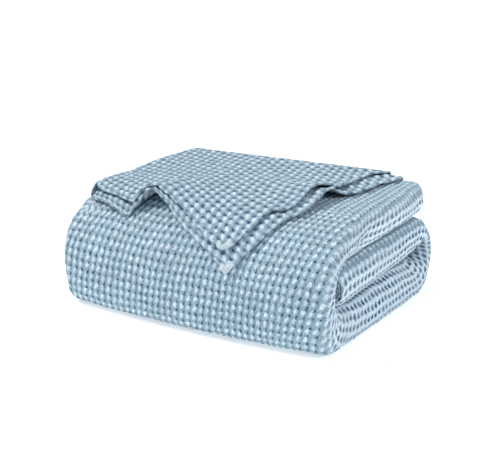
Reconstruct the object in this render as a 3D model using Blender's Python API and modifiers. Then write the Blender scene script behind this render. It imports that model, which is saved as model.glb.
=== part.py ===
"""A waffle weave cotton blanket, folded into a bundle with one corner laid back over it.

The blanket is one cloth and one solid. It is folded in half side to side until it is a strip
LEVELS layers deep, and the strip is then folded in three from back to front like a letter.
Each layer is the doubled cloth. At the back of the top pass the topmost layer turns back over
the bundle and parts into its two sheets, whose hemmed corners hang over the front.

Metres, +Z up. +X runs along the bundle's long front, +Y runs from the front to the back.
"""

import math

import bmesh
import bpy
import numpy as np
from mathutils import Vector
from mathutils.bvhtree import BVHTree

# Driving dimensions of the folded bundle
WIDTH = 0.400           # along the front, over the folds at both ends
HEIGHT = 0.157          # of the folded strip, without the corner laid back over it
FRONT_Y = -0.152        # reach of the front turn at the bundle's ends
FRONT_BOW = 0.013       # further reach of the front turn at the middle of its width
LEFT_SINK = 0.008       # how far the top of the front turn sinks at the left end
SINK_FROM = -0.100      # and the X from which it does
GIVE_FROM = 0.050       # bow and sink begin here on the top, and are full from here forwards
GIVE_FULL = -0.027
BACK_Y = 0.158          # furthest reach of the back turn
PASS_GAP = 0.0010       # between two passes of the strip

# The strip: layers on layers, closed at the right by the last fold
HALVINGS = 3
LEVELS = 2 ** HALVINGS
STRIP = 0.0520          # its depth where it lies flat
PITCH = STRIP / LEVELS
LAYER_GAP = 0.0011
FOLD_REACH = 0.80       # how far a fold bulges sideways, as a share of its half height
FRONT_FOLD_REACH = 0.40 # the same where the strip turns up at the front
ROUND = 2.0             # power of the folds' round, and where the bundle's weight presses them
PRESSED = 3.0
FOLD_STEPS = {7: 8, 5: 6, 3: 6, 1: 4}   # facets of a fold, by the number of levels that it spans

# The slanting creases between the passes: height at the middle, and rise for each metre back
LOW_CREASE = (0.0575, 0.064)
HIGH_CREASE = (0.1095, 0.048)

# The front turn, rounder above its widest height than below it, where it carries the weight
FRONT_HEIGHT = 0.068
FRONT_POWER_ABOVE = 2.2
FRONT_POWER_BELOW = 3.0
FRONT_REACH_ABOVE = 0.125
FRONT_REACH_BELOW = 0.032
FRONT_HOLLOW_POWER = 2.25
FRONT_HOLLOW_Y = -0.095
FRONT_HOLLOW_REACH = 0.031
FRONT_STEPS = 12
BOWED_AT = (-0.5, 0.0, 0.5)     # where the outer layers bend to bow, as shares of half the width

# The back turn, with a drop-shaped hollow where the two lower passes part
BACK_CENTRE_Y = 0.118
BACK_POWER = 2.3
BACK_STEPS = 8
BACK_HOLLOW_FROM = 0.080
BACK_HOLLOW_TO = 0.138
BACK_HOLLOW_SWELL = 0.026

# Where the passes end
MIDDLE_START_Y = -0.116
TOP_END_Y = 0.150
TOP_DEPTHS = (0.050, 0.120, TOP_END_Y)  # where the top pass has its last sections
TOP_INSETS = (0.000, 0.002, 0.015)      # how far its right end draws in at each
DRAW_IN_FROM = 0.140                    # and the X from which it does
END_STAGGER = (0.000, -0.006, -0.002, -0.007, -0.003, -0.008, -0.004, -0.001)

# The corner laid back over the bundle: two sheets, joined along their left side
SHEET = 0.0032          # thickness at a hem
BODY_SHARE = 0.78       # of it, between the hems
HEM = 0.016
LOWER_LIFT = 0.0024
UPPER_LIFT = 0.0064
TUCK = 0.012            # length of each sheet that lies inside the top layer
TUCK_SHARE = 0.55       # of its thickness, there
LOWER_TUCK = 0.0016     # depth of each sheet's middle under the bundle's top, there
UPPER_TUCK = 0.0039
BACK_ROLL = 1.25        # reach of the turn at the back edge, as a share of its height
LEFT_SIDE = -0.192
COLUMNS = 27
ROWS = 14
HEM_LINES = 3           # lines of points across the width of a hem
SHEET_CLEARANCE = 0.0046
REST_ROUNDS = 8
BACK_TURNS = (1.0, 0.8, 0.6, 0.4, 0.2)  # stations round the turn at the back edge
LEFT_FOLD_REACH = 0.0022
LEFT_FOLD_ANGLES = [math.radians(angle) for angle in (45, 90, 135)]
FADE = 4.5              # how quickly a wave of the hem dies away into the sheet

# Hems of the lower sheet. across: X; down: length from the back edge over the top and down the
# front; lift: height of the hem above the bundle. All in millimetres, from the tip outwards.
LOWER_FRONT_HEM = (
    # across, down, lift
    (68, 328, 2.4),
    (42, 309, 2.4),
    (6, 289, 3),
    (-17, 276, 5),
    (-36, 263, 9),
    (-55, 252, 15),
    (-70, 247, 20),
    (-82, 246, 22),
    (-92, 256, 15),
    (-98, 267, 7),
    (-104, 279, 2.4),
    (-119, 274, 3),
    (-145, 265, 6),
    (-168, 260, 6),
    (-192, 257, 3),
)
LOWER_SIDE_HEM = (
    (68, 328, 2.4),
    (76, 316, 2.4),
    (91, 295, 2.4),
    (101, 275, 2.4),
    (111, 246, 3),
    (122, 231, 4),
    (129, 214, 7),
    (129, 186, 11),
    (127, 163, 15),
    (128, 146, 12),
    (136, 135, 5),
    (142, 118, 3),
    (145, 90, 3),
    (146, 55, 3),
    (152, 30, 2.4),
    (154, 0, 2.4),
)
# Hems of the upper sheet
UPPER_FRONT_HEM = (
    (58, 301, 6.4),
    (39, 294, 6.4),
    (15, 281, 7),
    (-10, 265, 9),
    (-33, 253, 13),
    (-52, 246, 19),
    (-66, 242, 24),
    (-77, 241, 26),
    (-87, 249, 22),
    (-93, 256, 17),
    (-100, 262, 12),
    (-122, 256, 10),
    (-145, 250, 10),
    (-173, 240, 9.5),
    (-192, 226, 6.6),
)
UPPER_SIDE_HEM = (
    (58, 301, 6.4),
    (67, 296, 6.4),
    (77, 281, 6.4),
    (83, 263, 6.4),
    (87, 243, 7),
    (93, 234, 8),
    (105, 230, 8),
    (112, 218, 9.5),
    (112, 196, 13),
    (109, 172, 18),
    (114, 156, 20),
    (123, 132, 13),
    (120, 105, 9),
    (118, 70, 7.5),
    (118, 22, 6.5),
    (134, 0, 6.4),
)

COTTON = (0.30, 0.48, 0.62, 1.0)    # linear pale blue


def clear_scene():
    """Remove whatever the file holds."""
    for thing in list(bpy.data.objects):
        bpy.data.objects.remove(thing, do_unlink=True)


def cotton_material(name):
    """Matte woven cotton in one pale blue."""
    material = bpy.data.materials.new(name)
    material.use_nodes = True
    shader = material.node_tree.nodes["Principled BSDF"]
    shader.inputs["Base Color"].default_value = COTTON
    shader.inputs["Roughness"].default_value = 0.9
    shader.inputs["Metallic"].default_value = 0.0
    return material


def rounded(value, power):
    """A sine or cosine turned into that of a squarer round."""
    return math.copysign(abs(value) ** (2.0 / power), value)


# ---------------------------------------------------------------- the strip in section


def fold_order(halvings):
    """Levels of the strip in the order in which one cloth runs through them."""
    columns = [[panel] for panel in range(2 ** halvings)]
    for _ in range(halvings):
        half = len(columns) // 2
        columns = [columns[i] + columns[-1 - i][::-1] for i in range(half)]
    stack = columns[0]
    return [stack.index(panel) for panel in range(2 ** halvings)]


def strip_section(reach, squareness):
    """Two lists of (across, through) points: the cloth's left and right faces along its run.

    reach is how far the folds bulge sideways, as a share of their half height. squareness is
    the power of their round on the strip's outer side, 2 for a true round.
    """
    half_cloth = (PITCH - LAYER_GAP) / 2
    right_centre = WIDTH / 2 - LEVELS / 2 * PITCH * reach
    left_centre = -WIDTH / 2 + LEVELS / 4 * PITCH * reach
    order = fold_order(HALVINGS)
    left_face = []
    right_face = []

    def height(level):
        return (level + 0.5) * PITCH

    def add_flat(level, x, side):
        left_face.append((x, height(level) + side * half_cloth))
        right_face.append((x, height(level) - side * half_cloth))

    add_flat(order[0], -WIDTH / 2 + PITCH, 1.0)
    for index, (level, following) in enumerate(zip(order, order[1:])):
        at_right = index % 2 == 0
        if level >= LEVELS // 2:
            for share in BOWED_AT if at_right else BOWED_AT[::-1]:
                add_flat(level, share * WIDTH / 2, 1.0 if at_right else -1.0)
        centre_x = right_centre if at_right else left_centre
        outward = 1.0 if at_right else -1.0
        centre_z = (height(level) + height(following)) / 2
        span = abs(following - level)
        radius = span * PITCH / 2
        rising = 1.0 if following > level else -1.0
        # The left-hand face is the outer one where the cloth turns clockwise.
        side = -rising * outward
        for step in range(FOLD_STEPS[span] + 1):
            angle = math.pi * (step / FOLD_STEPS[span] - 0.5)
            up = math.sin(angle) * rising
            power = squareness if up > 0.0 else 2.0
            along = rounded(math.cos(angle), power) * outward
            up = rounded(up, power)
            for face, half in ((left_face, half_cloth), (right_face, -half_cloth)):
                round_radius = radius + side * half
                face.append((centre_x + round_radius * reach * along,
                             centre_z + round_radius * up))
    add_flat(order[-1], -WIDTH / 2 + PITCH / 2, -1.0)
    return left_face, right_face


# ---------------------------------------------------------------- the strip's letter fold


def low_crease(y):
    return LOW_CREASE[0] + LOW_CREASE[1] * y


def high_crease(y):
    return HIGH_CREASE[0] + HIGH_CREASE[1] * y


def front_outer(turn):
    """Outer face of the front turn, from 0 underneath to 1 on top."""
    angle = math.pi * turn
    below = turn <= 0.5
    reach = FRONT_REACH_BELOW if below else FRONT_REACH_ABOVE
    rise = FRONT_HEIGHT if below else HEIGHT - FRONT_HEIGHT
    power = FRONT_POWER_BELOW if below else FRONT_POWER_ABOVE
    y = FRONT_Y + reach - reach * rounded(math.sin(angle), power)
    z = FRONT_HEIGHT - rise * rounded(math.cos(angle), power)
    return y, z


def front_inner(turn):
    """Inner face of the front turn, which wraps the front of the middle pass."""
    angle = math.pi * turn
    low = low_crease(FRONT_HOLLOW_Y) - PASS_GAP / 2
    high = high_crease(FRONT_HOLLOW_Y) + PASS_GAP / 2
    y = FRONT_HOLLOW_Y - FRONT_HOLLOW_REACH * rounded(math.sin(angle), FRONT_HOLLOW_POWER)
    z = (low + high) / 2 - (high - low) / 2 * rounded(math.cos(angle), FRONT_HOLLOW_POWER)
    return y, z


def back_outer(turn):
    """Outer face of the back turn, from 0 on the middle pass to 1 underneath."""
    angle = math.pi * turn
    top = high_crease(BACK_CENTRE_Y) - PASS_GAP / 2
    y = BACK_CENTRE_Y + (BACK_Y - BACK_CENTRE_Y) * rounded(math.sin(angle), BACK_POWER)
    z = top / 2 + top / 2 * rounded(math.cos(angle), BACK_POWER)
    return y, z


def back_inner(turn):
    """Inner face of the back turn, which swells into a drop-shaped hollow."""
    angle = math.pi * turn
    depth = math.sin(angle)
    y = BACK_HOLLOW_FROM + (BACK_HOLLOW_TO - BACK_HOLLOW_FROM) * depth
    half = PASS_GAP / 2 + BACK_HOLLOW_SWELL * depth ** 2 * abs(math.cos(angle))
    z = low_crease(y) + (half if turn < 0.5 else -half)
    return y, z


def strip_stations():
    """Stations along the strip's run.

    Each is (inner point, outer point, share of bow and sink, fold reach, squareness).
    """
    stations = []
    # The middle pass starts rounded, inside the front turn.
    for share in (0.0, 0.15, 0.4, 1.0):
        y = MIDDLE_START_Y + (FRONT_HOLLOW_Y - MIDDLE_START_Y) * share
        middle = (low_crease(y) + high_crease(y)) / 2
        half = (high_crease(y) - low_crease(y)) / 2 - PASS_GAP / 2
        half *= 0.6 + 0.4 * math.sqrt(1 - (1 - share) ** 2)
        stations.append(((y, middle - half), (y, middle + half), 0.0, FOLD_REACH, ROUND))
    for step in range(BACK_STEPS + 1):
        turn = step / BACK_STEPS
        squareness = ROUND + (PRESSED - ROUND) * turn
        stations.append((back_inner(turn), back_outer(turn), 0.0, FOLD_REACH, squareness))
    for step in range(FRONT_STEPS + 1):
        turn = step / FRONT_STEPS
        tight = math.sin(math.pi * turn) ** 2
        reach = FOLD_REACH + (FRONT_FOLD_REACH - FOLD_REACH) * tight
        squareness = PRESSED + (ROUND - PRESSED) * turn
        stations.append((front_inner(turn), front_outer(turn), 1.0, reach, squareness))
    for y in TOP_DEPTHS:
        inner = (y, high_crease(y) + PASS_GAP / 2)
        stations.append((inner, (y, HEIGHT), 0.0, FOLD_REACH, ROUND))
    return stations


def front_give(x, z):
    """How far the front turn's outer layers bow forwards and sink, at a place on them."""
    bow = FRONT_BOW * (1.0 - (x / (WIDTH / 2)) ** 2)
    above = min(max((z - FRONT_HEIGHT) / (HEIGHT - FRONT_HEIGHT), 0.0), 1.0)
    beyond = max(SINK_FROM - x, 0.0) / (WIDTH / 2 + SINK_FROM)
    return bow, LEFT_SINK * beyond * above


def place_section(section, inner, outer, give, stagger):
    """Points of the section on the line from the inner to the outer face of the strip."""
    points = []
    for x, through in section:
        share = through / STRIP
        level = min(int(share * LEVELS), LEVELS - 1)
        y = inner[0] + (outer[0] - inner[0]) * share + stagger[level]
        z = inner[1] + (outer[1] - inner[1]) * share
        bow, sink = front_give(x, z)
        weight = give * max(2.0 * share - 1.0, 0.0)
        points.append((x, y - bow * weight, z - sink * weight))
    return points


def draw_in(point):
    """Move a point of the top pass left where the strip's right end draws in towards the back."""
    x, y, z = point
    share = max(x - DRAW_IN_FROM, 0.0) / (WIDTH / 2 - DRAW_IN_FROM)
    return x - share * np.interp(y, TOP_DEPTHS, TOP_INSETS), y, z


def build_strip(name):
    """Loft the folded section along the letter fold, as one closed body."""
    stations = strip_stations()
    level_ends = [0.0] * LEVELS
    mesh = bmesh.new()
    loops = []
    for index, (inner, outer, give, reach, squareness) in enumerate(stations):
        last = index == len(stations) - 1
        stagger = END_STAGGER if last else level_ends
        left_face, right_face = strip_section(reach, squareness)
        section = left_face + right_face[::-1]
        placed = place_section(section, inner, outer, give, stagger)
        if index >= len(stations) - len(TOP_DEPTHS):
            placed = [draw_in(point) for point in placed]
        loops.append([mesh.verts.new(point) for point in placed])
    size = len(loops[0])
    count = size // 2
    for loop, following in zip(loops, loops[1:]):
        for i in range(size):
            j = (i + 1) % size
            mesh.faces.new((loop[i], loop[j], following[j], following[i]))
    # Each end is closed layer by layer, from one face of the cloth to the other.
    for loop in (loops[0], loops[-1]):
        for i in range(count - 1):
            mesh.faces.new((loop[i], loop[i + 1], loop[size - 2 - i], loop[size - 1 - i]))
    bmesh.ops.recalc_face_normals(mesh, faces=mesh.faces)
    data = bpy.data.meshes.new(name)
    mesh.to_mesh(data)
    mesh.free()
    return bpy.data.objects.new(name, data)


# ---------------------------------------------------------------- the corner laid back


def top_profile():
    """Fine (y, z) points of the bundle's outer face, from the back edge to under the front."""
    points = [(TOP_END_Y, HEIGHT)]
    fine = 120
    for step in range(fine + 1):
        points.append(front_outer(1.0 - step / fine))
    profile = np.array(points)
    lengths = np.hypot(*np.diff(profile, axis=0).T)
    return profile, np.concatenate([[0.0], np.cumsum(lengths)])


PROFILE, PROFILE_LENGTH = top_profile()


def over_bundle(x, down, lift):
    """The point at a length down from the back edge, lifted off the bundle's outer face."""
    step = 0.002
    y, z = (np.interp(down, PROFILE_LENGTH, PROFILE[:, k]) for k in (0, 1))
    ahead = [np.interp(down + step, PROFILE_LENGTH, PROFILE[:, k]) for k in (0, 1)]
    behind = [np.interp(max(down - step, 0.0), PROFILE_LENGTH, PROFILE[:, k]) for k in (0, 1)]
    run = Vector((ahead[0] - behind[0], ahead[1] - behind[1])).normalized()
    forward = min(max((GIVE_FROM - y) / (GIVE_FROM - GIVE_FULL), 0.0), 1.0)
    bow, sink = front_give(x, z)
    return Vector((x, y + lift * run.y - bow * forward, z - lift * run.x - sink * forward))


def along_hem(rows, share):
    """A smooth point of a hem table, by its share of the hem's length."""
    table = np.array(rows) / 1000.0
    lengths = np.concatenate([[0.0], np.cumsum(np.linalg.norm(np.diff(table, axis=0), axis=1))])
    place = share * lengths[-1]
    i = int(np.clip(np.searchsorted(lengths, place) - 1, 0, len(table) - 2))
    t = (place - lengths[i]) / (lengths[i + 1] - lengths[i])
    before = table[max(i - 1, 0)]
    after = table[min(i + 2, len(table) - 1)]
    start, end = table[i], table[i + 1]
    leave = (end - before) / 2
    arrive = (after - start) / 2
    return (start * (2 * t**3 - 3 * t**2 + 1) + leave * (t**3 - 2 * t**2 + t)
            + end * (3 * t**2 - 2 * t**3) + arrive * (t**3 - t**2))


def sheet_point(front_hem, side_hem, flat_lift, a, b):
    """(across, down, lift) in a sheet: a runs to the side hem, b runs to the front hem."""
    front = along_hem(front_hem, 1.0 - a)
    side = along_hem(side_hem, 1.0 - b)
    tip = np.array(front_hem[0]) / 1000.0
    left_end = np.array(front_hem[-1]) / 1000.0
    back_end = np.array(side_hem[-1]) / 1000.0
    back_left = np.array((LEFT_SIDE, 0.0, flat_lift))
    back = back_left * (1 - a) + back_end * a
    left = back_left * (1 - b) + left_end * b
    corners = (back_left * (1 - a) * (1 - b) + back_end * a * (1 - b)
               + left_end * (1 - a) * b + tip * a * b)
    place = back * (1 - b) + front * b + left * (1 - a) + side * a - corners
    wave = (front[2] - flat_lift) * b**FADE * (1 - a**FADE) + (side[2] - flat_lift) * a**FADE
    return place[0], place[1], flat_lift + wave


def spread(count, edge, lean):
    """Shares from 0 to 1, closer towards 1, with two more lines where the hem begins."""
    inner = 1.0 - edge
    shares = [0.985 * inner * (1.0 - (1.0 - i / (count - 1)) ** lean) for i in range(count)]
    return shares + [inner, 1.0 - edge / 2, 1.0]


def turned_back(x, radius_in, radius_out, turn):
    """A point on the turn at the back edge: 0 on top of the bundle, 1 inside the top layer."""
    angle = math.pi * turn
    radius = radius_out + (radius_in - radius_out) * turn
    y = TOP_END_Y + BACK_ROLL * radius * math.sin(angle)
    z = HEIGHT + radius * math.cos(angle)
    return Vector((x, y, z))


def sheet_grid(front_hem, side_hem, flat_lift, columns, rows):
    """Rows of (across, down, lift) over one sheet, from the back edge to the front hem."""
    return [
        [Vector(sheet_point(front_hem, side_hem, flat_lift, a, b)) for a in columns]
        for b in rows
    ]


def rest_on(upper, lower, clearance):
    """Raise each point of the upper grid until it is clear of the lower one."""
    width = len(lower[0])
    corners = [p for row in lower for p in row]
    faces = []
    for j in range(len(lower) - 1):
        for i in range(width - 1):
            first = j * width + i
            faces.append((first, first + 1, first + width + 1, first + width))
    under = BVHTree.FromPolygons(corners, faces)
    for row in upper:
        for point in row:
            for _ in range(REST_ROUNDS):
                distance = under.find_nearest(point)[3]
                point.z += max(clearance - distance, 0.0)


def sheet_lines(grid, tucked):
    """Rows of points in space: inside the top layer, round the back turn and over the bundle."""
    first = grid[0]
    inside = [turned_back(p.x, tucked, p.z, 1.0) for p in first]
    lines = [[p - Vector((0.0, TUCK, 0.0)) for p in inside]]
    for turn in BACK_TURNS:
        lines.append([turned_back(p.x, tucked, p.z, turn) for p in first])
    for row in grid:
        lines.append([over_bundle(*p) for p in row])
    return lines


def build_corner(name):
    """Both sheets as one open surface, folded at the left, with a thickness for each vertex."""
    columns = spread(COLUMNS, HEM / 0.33, 1.0)
    rows = spread(ROWS, HEM / 0.34, 1.3)
    lower_grid = sheet_grid(LOWER_FRONT_HEM, LOWER_SIDE_HEM, LOWER_LIFT, columns, rows)
    upper_grid = sheet_grid(UPPER_FRONT_HEM, UPPER_SIDE_HEM, UPPER_LIFT, columns, rows)
    rest_on(upper_grid, lower_grid, SHEET_CLEARANCE)
    lower_lines = sheet_lines(lower_grid, LOWER_TUCK)
    upper_lines = sheet_lines(upper_grid, UPPER_TUCK)

    mesh = bmesh.new()
    thick = []
    lines = []
    count = len(columns)
    hem_column = count - HEM_LINES
    hem_row = len(lower_lines) - HEM_LINES
    across = list(range(count - 1, -1, -1))
    for j, (lower, upper) in enumerate(zip(lower_lines, upper_lines)):
        tucked_in = j <= len(BACK_TURNS) // 2
        body = TUCK_SHARE if tucked_in else BODY_SHARE
        turning = j <= len(BACK_TURNS)
        in_hem = [not turning and (i >= hem_column or j >= hem_row) for i in range(count)]
        line = [mesh.verts.new(lower[i]) for i in across]
        thick += [1.0 if in_hem[i] else body for i in across]
        # The fold at the left joins the two sheets on a half round.
        middle = (lower[0] + upper[0]) / 2
        arm = (upper[0] - lower[0]) / 2
        for angle in LEFT_FOLD_ANGLES:
            bulge = Vector((-LEFT_FOLD_REACH * math.sin(angle), 0.0, 0.0))
            line.append(mesh.verts.new(middle - arm * math.cos(angle) + bulge))
            thick.append(body)
        line += [mesh.verts.new(upper[i]) for i in range(count)]
        thick += [1.0 if in_hem[i] else body for i in range(count)]
        lines.append(line)
    for line, following in zip(lines, lines[1:]):
        for i in range(len(line) - 1):
            mesh.faces.new((line[i], line[i + 1], following[i + 1], following[i]))
    bmesh.ops.recalc_face_normals(mesh, faces=mesh.faces)
    data = bpy.data.meshes.new(name)
    mesh.to_mesh(data)
    mesh.free()
    corner = bpy.data.objects.new(name, data)
    group = corner.vertex_groups.new(name="cloth thickness")
    for index, weight in enumerate(thick):
        group.add([index], weight, "REPLACE")
    solidify = corner.modifiers.new("cloth", "SOLIDIFY")
    solidify.thickness = SHEET
    solidify.offset = 0.0
    solidify.vertex_group = group.name
    corner.display_type = "WIRE"
    corner.hide_render = True
    return corner


def centre_on_floor(thing, helper):
    """Move both so that the bundle's outline is centred on the origin."""
    bpy.context.view_layer.update()
    shape = thing.evaluated_get(bpy.context.evaluated_depsgraph_get())
    low, high = (Vector(f(c[k] for c in shape.bound_box) for k in range(3)) for f in (min, max))
    shift = Vector((-(low.x + high.x) / 2, -(low.y + high.y) / 2, -low.z))
    thing.location = shift
    helper.location = shift


def main():
    clear_scene()
    collection = bpy.data.collections.new("folded blanket")
    helpers = bpy.data.collections.new("joined shapes")
    bpy.context.scene.collection.children.link(collection)
    bpy.context.scene.collection.children.link(helpers)

    blanket = build_strip("blanket")
    corner = build_corner("corner laid back")
    collection.objects.link(blanket)
    helpers.objects.link(corner)
    blanket.data.materials.append(cotton_material("pale blue waffle cotton"))
    joined = blanket.modifiers.new("corner laid back", "BOOLEAN")
    joined.operation = "UNION"
    joined.object = corner
    centre_on_floor(blanket, corner)


main()
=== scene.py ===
# %% [markdown]
# # A folded waffle weave cotton blanket
#
# A waffle weave blanket is one piece of cotton cloth whose floating threads draw up into small
# square cells with raised walls. This one is folded into a thick bundle, and one of its hemmed
# corners is laid back over the top, where its two sheets part and hang over the front.
#
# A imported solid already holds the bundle's folds and size. This lesson builds the cloth that
# shows: each layer as a thin closed sheet on the solid's own folds. Where the camera sees the
# weave its cells are real relief in the mesh, and the material adds their colour and the yarns.

# %% Load the solid that the cloth has to fit
import math

import bpy
import numpy as np
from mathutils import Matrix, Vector
from mathutils.bvhtree import BVHTree


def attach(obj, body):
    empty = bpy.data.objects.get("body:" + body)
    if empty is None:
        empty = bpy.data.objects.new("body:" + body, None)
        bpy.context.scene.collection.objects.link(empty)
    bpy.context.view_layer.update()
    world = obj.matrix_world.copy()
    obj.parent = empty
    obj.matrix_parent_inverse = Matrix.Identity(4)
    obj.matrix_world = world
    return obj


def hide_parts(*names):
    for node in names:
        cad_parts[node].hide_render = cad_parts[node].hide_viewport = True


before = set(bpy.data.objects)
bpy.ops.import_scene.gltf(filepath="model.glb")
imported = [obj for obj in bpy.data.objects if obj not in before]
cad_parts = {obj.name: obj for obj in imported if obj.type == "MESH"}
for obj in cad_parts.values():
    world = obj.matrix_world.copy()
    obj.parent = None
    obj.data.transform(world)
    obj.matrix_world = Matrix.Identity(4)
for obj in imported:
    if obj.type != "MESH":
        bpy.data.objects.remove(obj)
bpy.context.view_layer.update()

# %% [markdown]
# ## The camera
#
# A product photographer stands well back with a long lens, so that the bundle's edges stay
# nearly parallel, and looks down on it a little. The lens is given by how many pixels of the
# 500 pixel wide frame one unit of slope covers, which Blender turns into millimetres.

# %% The camera
FRAME_WIDTH = 500  # pixels
PIXELS_PER_SLOPE = 1025
SENSOR_MM = 36
CAMERA_PLACE = (0.7046, -1.1222, 0.4631)
CAMERA_TURN = 32.07  # degrees to the left of straight back
CAMERA_DIP = 15.84  # degrees below level

lens = bpy.data.cameras.new("long lens")
lens.sensor_width = SENSOR_MM
lens.lens = SENSOR_MM * PIXELS_PER_SLOPE / FRAME_WIDTH
lens.clip_start = 0.05
camera = bpy.data.objects.new("camera", lens)
camera.location = CAMERA_PLACE
camera.rotation_euler = (math.radians(90 - CAMERA_DIP), 0.0, math.radians(CAMERA_TURN))
bpy.context.scene.collection.objects.link(camera)
bpy.context.scene.camera = camera
print("lens, mm:", round(lens.lens, 1))

# %% [markdown]
# ## Colours and shader nodes
#
# Colours are easiest to read as the sRGB hex values that a paint chart or a web page gives, but
# a shader works in linear light. One function turns the first into the second. A second small
# function adds a shader node, sets its values and links its sockets in one go, and a third
# starts a material.


# %% Helpers for materials
def linear(hex_colour):
    """The linear RGBA of an sRGB colour such as "9bbcd4"."""
    channels = [int(hex_colour[i:i + 2], 16) / 255 for i in (0, 2, 4)]
    return [c / 12.92 if c <= 0.04045 else ((c + 0.055) / 1.055) ** 2.4 for c in channels] + [1.0]


def add_node(tree, kind, sockets, output=0, **settings):
    """An output of a new node. sockets gives each input a value, or the output that feeds it."""
    node = tree.nodes.new("ShaderNode" + kind)
    for name, value in settings.items():
        setattr(node, name, value)
    for key, value in sockets.items():
        if isinstance(value, bpy.types.NodeSocket):
            tree.links.new(value, node.inputs[key])
        else:
            node.inputs[key].default_value = value
    return node.outputs[output]


def new_material(name, sockets):
    """A material, its node tree, and its Principled shader with the given values."""
    material = bpy.data.materials.new(name)
    material.use_nodes = True
    shader = material.node_tree.nodes["Principled BSDF"]
    for socket, value in sockets.items():
        shader.inputs[socket].default_value = value
    return material, material.node_tree, shader


print("mid blue, linear:", [round(c, 3) for c in linear("9bbcd4")])

# %% [markdown]
# ## The studio
#
# White board all round and large soft lights far away make a bright, even set, in which the
# floor has no edge. The lights are suns with a wide disc: their light doesn't fall off with
# distance, and the disc's width makes the shadows soft. The stronger one comes from the left and
# shades the cells of the weave, and the other keeps the folded end open. The board under the
# blanket is lit from below, as a light table is, so the blanket throws hardly any shadow on it.

# %% The floor
WHITE_BOARD = "fbfbfa"
BOARD_GLOW = 0.45
FLOOR_SIZE = 60.0

# White board gives the eye a pale, even ground without an edge.
board, _, _ = new_material("matt_white_board", {
    "Base Color": linear(WHITE_BOARD), "Roughness": 0.85, "Specular IOR Level": 0.2,
    "Emission Color": linear(WHITE_BOARD), "Emission Strength": BOARD_GLOW})

bpy.ops.mesh.primitive_plane_add(size=FLOOR_SIZE, location=(0.0, 0.0, 0.0))
floor = bpy.context.object
floor.name = "floor"
floor.data.materials.append(board)
print("floor, m:", FLOOR_SIZE)

# %% Surroundings and lights
SURROUNDINGS = "d9e7fb"
SURROUNDINGS_STRENGTH = 0.56
LAMPLIGHT = "fff6eb"  # a little warmer than the surroundings, which leaves the shadows blue
LIGHTS = (
    # name, where it comes from, width of its disc in degrees, strength
    ("left light", (-1.4, -0.5, 2.0), 12, 2.7),
    ("right light", (1.5, 0.12, 1.0), 30, 1.15),
)

world = bpy.data.worlds.new("pale surroundings")
world.use_nodes = True
surround = world.node_tree.nodes["Background"]
surround.inputs["Color"].default_value = linear(SURROUNDINGS)
surround.inputs["Strength"].default_value = SURROUNDINGS_STRENGTH
bpy.context.scene.world = world
bpy.context.scene.view_settings.view_transform = "Standard"

for name, place, width, strength in LIGHTS:
    lamp = bpy.data.lights.new(name, "SUN")
    lamp.angle = math.radians(width)
    lamp.energy = strength
    lamp.color = linear(LAMPLIGHT)[:3]
    light = bpy.data.objects.new(name, lamp)
    light.location = place
    light.rotation_euler = (-Vector(place)).to_track_quat("-Z", "Y").to_euler()
    bpy.context.scene.collection.objects.link(light)
print("lights:", len(LIGHTS))

# %% [markdown]
# ## How the bundle is folded
#
# The doubled cloth is folded side to side until it is a strip eight layers deep, and the strip
# is folded in three from back to front, like a letter. So every point of the cloth has a place
# along the strip's run, a place across it, and a depth through its layers. The same driving
# sizes as the solid's give, for each place along the run, the strip's inner and outer face.
# Working in these three coordinates makes the cloth follow the folds by itself.

# %% Driving sizes of the bundle, in metres
WIDTH = 0.400
HEIGHT = 0.157
FRONT_Y = -0.152
BACK_Y = 0.158
LEVELS = 8  # of doubled cloth in the strip
STRIP = 0.0520  # thickness of the strip
PITCH = STRIP / LEVELS
LAYER_GAP = 0.0011  # air between two levels
PASS_GAP = 0.0010  # air between two passes of the strip
HALF_CLOTH = (PITCH - LAYER_GAP) / 2
# Height at y = 0, and slope, of the creases between the passes.
LOW_CREASE = (0.0575, 0.064)
HIGH_CREASE = (0.1095, 0.048)
# The solid is centred on its own box, which moves these axes a little.
TO_FRAME = np.array((0.0, 0.00343, -0.00054))
CLOSE = 0.001  # places this near to each other count as one


def rounded(value, power):
    """A sine or cosine turned into that of a squarer round. The power of a circle is 2."""
    return np.sign(value) * np.abs(value) ** (2.0 / power)


def crease(line, y):
    """Height at the depth y of a slanting crease between two passes."""
    return line[0] + line[1] * y


print("doubled cloth, mm:", round(2000 * HALF_CLOTH, 1))

# %% The faces of the strip at its two turns
FRONT_HEIGHT = 0.068  # height of the line that is furthest forward
FRONT_POWER_ABOVE = 2.2
FRONT_POWER_BELOW = 3.0
FRONT_REACH_ABOVE = 0.125  # length over which the top curves down into the front
FRONT_REACH_BELOW = 0.032
FRONT_HOLLOW_POWER = 2.25
FRONT_HOLLOW_Y = -0.095
FRONT_HOLLOW_REACH = 0.031
BACK_CENTRE_Y = 0.118
BACK_POWER = 2.3
BACK_HOLLOW_FROM = 0.080
BACK_HOLLOW_TO = 0.138
BACK_HOLLOW_SWELL = 0.026


def front_outer(turn):
    """Outer face of the front turn, from 0 underneath to 1 on top."""
    angle = np.pi * turn
    below = turn <= 0.5
    reach = np.where(below, FRONT_REACH_BELOW, FRONT_REACH_ABOVE)
    rise = np.where(below, FRONT_HEIGHT, HEIGHT - FRONT_HEIGHT)
    power = np.where(below, FRONT_POWER_BELOW, FRONT_POWER_ABOVE)
    y = FRONT_Y + reach - reach * rounded(np.sin(angle), power)
    return y, FRONT_HEIGHT - rise * rounded(np.cos(angle), power)


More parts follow.
